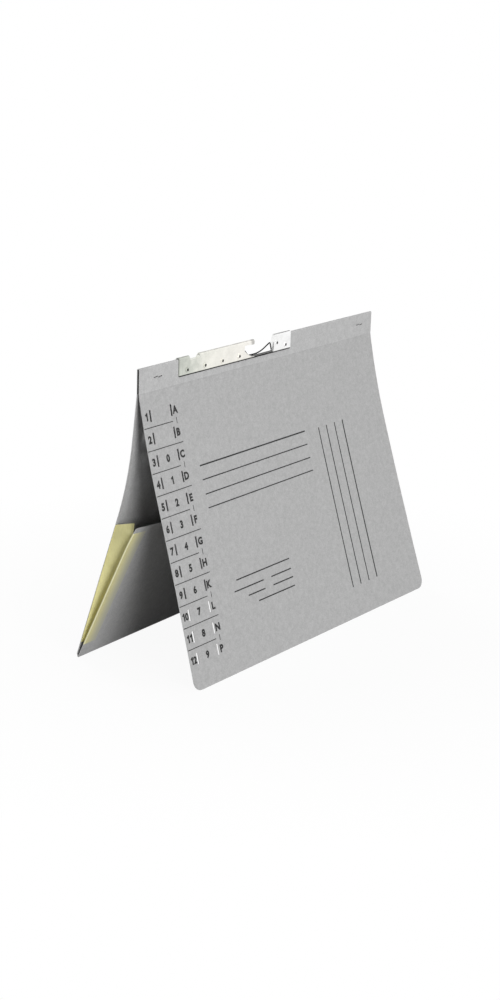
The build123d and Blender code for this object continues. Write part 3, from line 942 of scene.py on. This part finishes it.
def strokePiece(name, strokes):
    # each stroke: (u, d) of its start and end, and its width
    section = ((-1, ink["high"]), (1, ink["high"]), (1, -ink["sunk"]), (-1, -ink["sunk"]))
    sides = len(section)
    ring = [(i, (i + 1) % sides) for i in range(sides)]
    verts, faces = [], []
    for (u0, d0), (u1, d1), wide in strokes:
        stroke = Vector((u1 - u0, d1 - d0))
        across = Vector((-stroke.y, stroke.x)).normalized() * wide / 2
        first = len(verts)
        parts = spread(0.0, 1.0, min(1.0, ink["step"] / stroke.length))
        for share in parts:
            for hand, lift in section:
                p = Vector((u0, d0)) + stroke * share + across * hand
                verts.append(onFront(p.x, p.y, lift))
        last = len(verts) - sides
        for a in range(first, last, sides):
            faces += [(a + i, a + j, a + sides + j, a + sides + i) for i, j in ring]
        faces += [tuple(range(first + sides - 1, first - 1, -1)), tuple(range(last, last + sides))]
    return newPiece(name, verts, faces, printInk)


def figurePiece(name, figures):
    # each figure: its text and the (u, d) of its middle
    verts, faces = [], []
    for text, u, d in figures:
        curve = bpy.data.curves.new("figure", "FONT")
        curve.body = text
        curve.extrude = 0.5  # any depth, as the film's own is given below
        curve.resolution_u = ink["figureSteps"]
        curve.offset = ink["figureWeight"]
        curve.space_character = ink["figureSpace"]
        holder = bpy.data.objects.new("figure", curve)
        bpy.context.scene.collection.objects.link(holder)
        drawn = bpy.data.meshes.new_from_object(holder.evaluated_get(bpy.context.evaluated_depsgraph_get()))
        xs = [v.co.x for v in drawn.vertices]
        ys = [v.co.y for v in drawn.vertices]
        scale = ink["figureHigh"] / (max(ys) - min(ys))
        midX, midY = (max(xs) + min(xs)) / 2, (max(ys) + min(ys)) / 2
        first = len(verts)
        for v in drawn.vertices:
            lift = ink["high"] if v.co.z > 0 else -ink["sunk"]
            verts.append(onFront(u + (v.co.x - midX) * scale, d - (v.co.y - midY) * scale, lift))
        faces += [[first + i for i in face.vertices] for face in drawn.polygons]
        bpy.data.objects.remove(holder)
        bpy.data.curves.remove(curve)
        bpy.data.meshes.remove(drawn)
    return newPiece(name, verts, faces, printInk)


# Index: a line under each row, every other one longer, with a short tick beside the short ones
indexMarks = {
    "lineStart": 0.3 * mm,
    "shortEnd": 34 * mm,
    "longEnd": 42 * mm,
    "tickPlace": 38.6 * mm,
    "tickHigh": 4.6 * mm,
    "numberPlace": 4.8 * mm,
    "digitPlace": 21.3 * mm,
    "letterPlace": 38.4 * mm,
    "firstDigitRow": 2,
    "letters": "ABCDEFGHKLNP",
    "flaggedOne": "\U0001D7E3",  # the font's plain figure one is a bare stroke
}


def printed(number):
    return str(number).replace("1", indexMarks["flaggedOne"])


lines = []
for i, d in enumerate(indexRows[:-1]):
    under = d + indexPitch / 2
    end = indexMarks["longEnd"] if i % 2 else indexMarks["shortEnd"]
    lines.append(((indexMarks["lineStart"], under), (end, under), ink["hair"]))
    if not i % 2:
        tick, tickHalf = indexMarks["tickPlace"], indexMarks["tickHigh"] / 2
        lines.append(((tick, under - tickHalf), (tick, under + tickHalf), ink["hair"]))
figures = []
for i, d in enumerate(indexRows):
    level = d + ink["figureDrop"]
    figures.append((printed(i + 1), indexMarks["numberPlace"], level))
    figures.append((indexMarks["letters"][i], indexMarks["letterPlace"], level))
    if i >= indexMarks["firstDigitRow"]:
        figures.append((printed(i - indexMarks["firstDigitRow"]), indexMarks["digitPlace"], level))

# Title rules across and up, and the lines of a short form; depths are from the top edge
rules = {
    "acrossEnds": (55.9 * mm, 197.6 * mm),
    "acrossDepths": (81.3 * mm, 92.0 * mm, 102.9 * mm, 113.4 * mm),
    "uprightPlaces": (217.7 * mm, 229.4 * mm, 241.6 * mm, 253.8 * mm),
    "uprightEnds": (82 * mm, 215.7 * mm),
}
ruleStrokes = []
for depth in rules["acrossDepths"]:
    first, last = rules["acrossEnds"]
    wide = ink["boldRule"] if depth == rules["acrossDepths"][0] else ink["rule"]
    ruleStrokes.append(((first, depth - bandDepth), (last, depth - bandDepth), wide))
for place in rules["uprightPlaces"]:
    first, last = rules["uprightEnds"]
    wide = ink["boldUpright"] if place == rules["uprightPlaces"][-1] else ink["uprightRule"]
    ruleStrokes.append(((place, first - bandDepth), (place, last - bandDepth), wide))
formLines = (  # depth, start and end of each
    (172.8 * mm, 70.9 * mm, 141 * mm),
    (180.8 * mm, 66 * mm, 103.7 * mm),
    (180.8 * mm, 114 * mm, 140.7 * mm),
    (187.6 * mm, 82 * mm, 103.8 * mm),
    (187.6 * mm, 114.5 * mm, 141.3 * mm),
    (194.6 * mm, 93 * mm, 141.3 * mm),
)
formStrokes = [((a, s - bandDepth), (b, s - bandDepth), ink["formRule"]) for s, a, b in formLines]
prints = [
    strokePiece("index_lines", lines),
    figurePiece("index_figures", figures),
    strokePiece("title_rules", ruleStrokes),
    strokePiece("form_lines", formStrokes),
]
for piece in prints:
    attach(piece, "front_cover")
print("print made:", len(figures), "figures")


# Camera at the photograph's angle; the image is 500 by 1000
shot = {
    "azimuth": radians(-55.80),
    "elevation": radians(16.18),
    "roll": radians(1.84),
    "focalPixels": 1799.05,
    "imageHigh": 1000,
    "sensor": 36.0,
    "aimLeft": 13.23 * mm,  # of the folder's middle
    "aimBelow": 128.68 * mm,  # the top edge
    "distance": 1423.17 * mm,
}
azimuth, elevation, roll = shot["azimuth"], shot["elevation"], shot["roll"]
back = Vector((sin(azimuth) * cos(elevation), -cos(azimuth) * cos(elevation), sin(elevation)))
right = Vector((cos(azimuth), sin(azimuth), 0))
up = back.cross(right)
axes = (cos(roll) * right + sin(roll) * up, cos(roll) * up - sin(roll) * right, back)
aim = Vector((leftX + middle - shot["aimLeft"], ridgeY, topZ - shot["aimBelow"]))
camera = bpy.data.objects.new("camera", bpy.data.cameras.new("camera"))
camera.data.sensor_width = shot["sensor"]
camera.data.lens = shot["focalPixels"] / shot["imageHigh"] * shot["sensor"]
camera.matrix_world = Matrix.Translation(aim + back * shot["distance"]) @ Matrix(axes).transposed().to_4x4()
bpy.context.scene.collection.objects.link(camera)
bpy.context.scene.camera = camera

# White surroundings: the world and the floor look white, and light the object at a plain level
studio = {
    "fill": 0.285,
    "floorTone": 0.35,
    "floorWhite": 0.95,
    "floorLook": 0.94,  # share of plain white in what the camera sees of the floor, beside the object
    "floorFade": (0.15, 0.4),  # where the floor goes over to plain white
    "floorSize": 60.0,
    "floorDrop": 0.2 * mm,
}


def plainlySeen(start, lighting, looks):
    # the camera, gloss and glass meet one shader, and the other lights the object
    outs = start.add("ShaderNodeLightPath").out.node.outputs
    rays = ("Is Camera Ray", "Is Glossy Ray", "Is Transmission Ray")
    direct, glossy, through = (Sock(start.tree, outs[name]) for name in rays)
    seen = start.math("MAXIMUM", start.math("MAXIMUM", direct, glossy), through)
    return start.add("ShaderNodeMixShader", {}, {"Fac": seen, "Shader": lighting, "Shader_001": looks})


world = bpy.data.worlds.new("studio")
world.use_nodes = True
world.node_tree.nodes.clear()
air = Sock(world.node_tree)
white = air.add("ShaderNodeBackground", {}, {"Color": rgba(1.0), "Strength": 1.0})
dim = air.add("ShaderNodeBackground", {}, {"Color": rgba(1.0), "Strength": studio["fill"]})
air.add("ShaderNodeOutputWorld", {}, {"Surface": plainlySeen(air, dim, white)})
bpy.context.scene.world = world


def paintFloor(start):
    bounce = start.add("ShaderNodeBsdfDiffuse", {}, {"Color": rgba(studio["floorTone"])})
    matt = start.add("ShaderNodeBsdfDiffuse", {}, {"Color": rgba(studio["floorWhite"])})
    plain = start.add("ShaderNodeEmission", {}, {"Color": rgba(1.0), "Strength": 1.0})
    where = start.add("ShaderNodeTexCoord", out="Object")
    away = start.add("ShaderNodeVectorMath", {"operation": "LENGTH"}, {"Vector": where}, "Value")
    share = studio["floorLook"] + ramp(start, away, *studio["floorFade"]) * (1 - studio["floorLook"])
    look = start.add("ShaderNodeMixShader", {}, {"Fac": share, "Shader": matt, "Shader_001": plain})
    return plainlySeen(start, bounce, look)


floorHalf, floorZ = studio["floorSize"] / 2, -studio["floorDrop"]
floorCorners = [(x * floorHalf, y * floorHalf, floorZ) for x, y in ((-1, -1), (1, -1), (1, 1), (-1, 1))]
floorMesh = bpy.data.meshes.new("floor")
floorMesh.from_pydata(floorCorners, [], [(0, 1, 2, 3)])
floorMesh.materials.append(newFinish("floorWhite", paintFloor))
floor = bpy.data.objects.new("floor", floorMesh)
bpy.context.scene.collection.objects.link(floor)

# Soft lamps, turned from straight ahead of the front cover, with the key between that and the camera
lamps = {
    "key": {"turn": radians(-23.5), "rise": radians(13), "away": 4.0, "size": 2.2, "watts": 110.0},
    "back": {"turn": radians(160), "rise": radians(25), "away": 4.0, "size": 2.4, "watts": 75.0},
    "top": {"turn": radians(25), "rise": radians(62), "away": 1.6, "size": 0.8, "watts": 3.2},
}
for name, lamp in lamps.items():
    light = bpy.data.lights.new(name, "AREA")
    light.shape = "DISK"
    light.size = lamp["size"]
    light.energy = lamp["watts"]
    holder = bpy.data.objects.new(name, light)
    turn, across = lamp["turn"], lamp["away"] * cos(lamp["rise"])
    toLamp = Vector((across * sin(turn), -across * cos(turn), lamp["away"] * sin(lamp["rise"])))
    holder.location = aim + toLamp
    holder.rotation_euler = (aim - holder.location).to_track_quat("-Z", "Y").to_euler()
    bpy.context.scene.collection.objects.link(holder)
bpy.context.scene.view_settings.view_transform = "Standard"
print("camera and light set")
